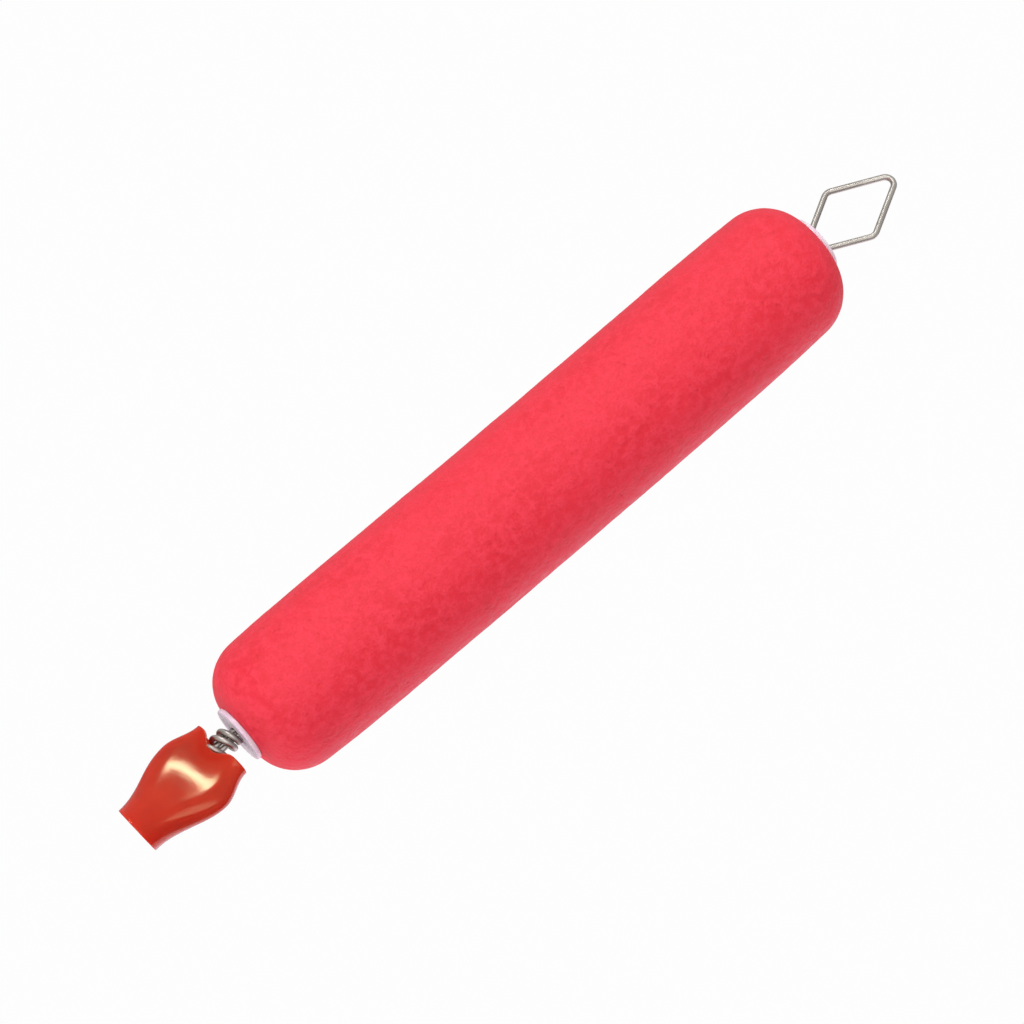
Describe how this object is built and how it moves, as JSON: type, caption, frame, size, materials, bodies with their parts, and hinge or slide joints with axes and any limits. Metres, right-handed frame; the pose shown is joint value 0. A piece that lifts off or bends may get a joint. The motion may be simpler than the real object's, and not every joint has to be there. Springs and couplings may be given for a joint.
{
  "type": "bobber float",
  "caption": "Slim foam fishing float on a doubled through-wire, with a diamond line loop above and a soft sleeve stretched over a wire eye below.",
  "frame": {"origin": "inner side of the diamond loop's peak, on the float's axis, where a line or hook bears", "axes": "+Z along the float's axis, from the sleeve towards the loop; +X across the loop, in the plane of its diamond"},
  "size_m": [0.019, 0.019, 0.127],
  "materials": {
    "steel_wire": "satin",
    "foam": "matte",
    "bushing_plastic": "satin",
    "tube_plastic": "satin",
    "sleeve_rubber": "gloss"
  },
  "bodies": {
    "wire": {"through_wire": "steel_wire"},
    "liner": {"core_tube": "tube_plastic"},
    "float": {"foam_body": "foam", "top_bushing": "bushing_plastic", "bottom_bushing": "bushing_plastic"},
    "sleeve": {"line_sleeve": "sleeve_rubber"}
  },
  "joints": [
    {"name": "body_slide", "type": "slide", "parent": "wire", "child": "liner", "axis": [0, 0, 1], "range_m": [0, 0.001]},
    {"name": "body_spin", "type": "hinge", "parent": "liner", "child": "float", "pos_m": [0, 0, -0.06], "axis": [0, 0, 1], "continuous": true},
    {"name": "sleeve_pull", "type": "slide", "parent": "wire", "child": "sleeve", "axis": [0.0558, 0, -0.9984], "range_m": [0, 0.012], "deforming": ["line_sleeve"]}
  ]
}
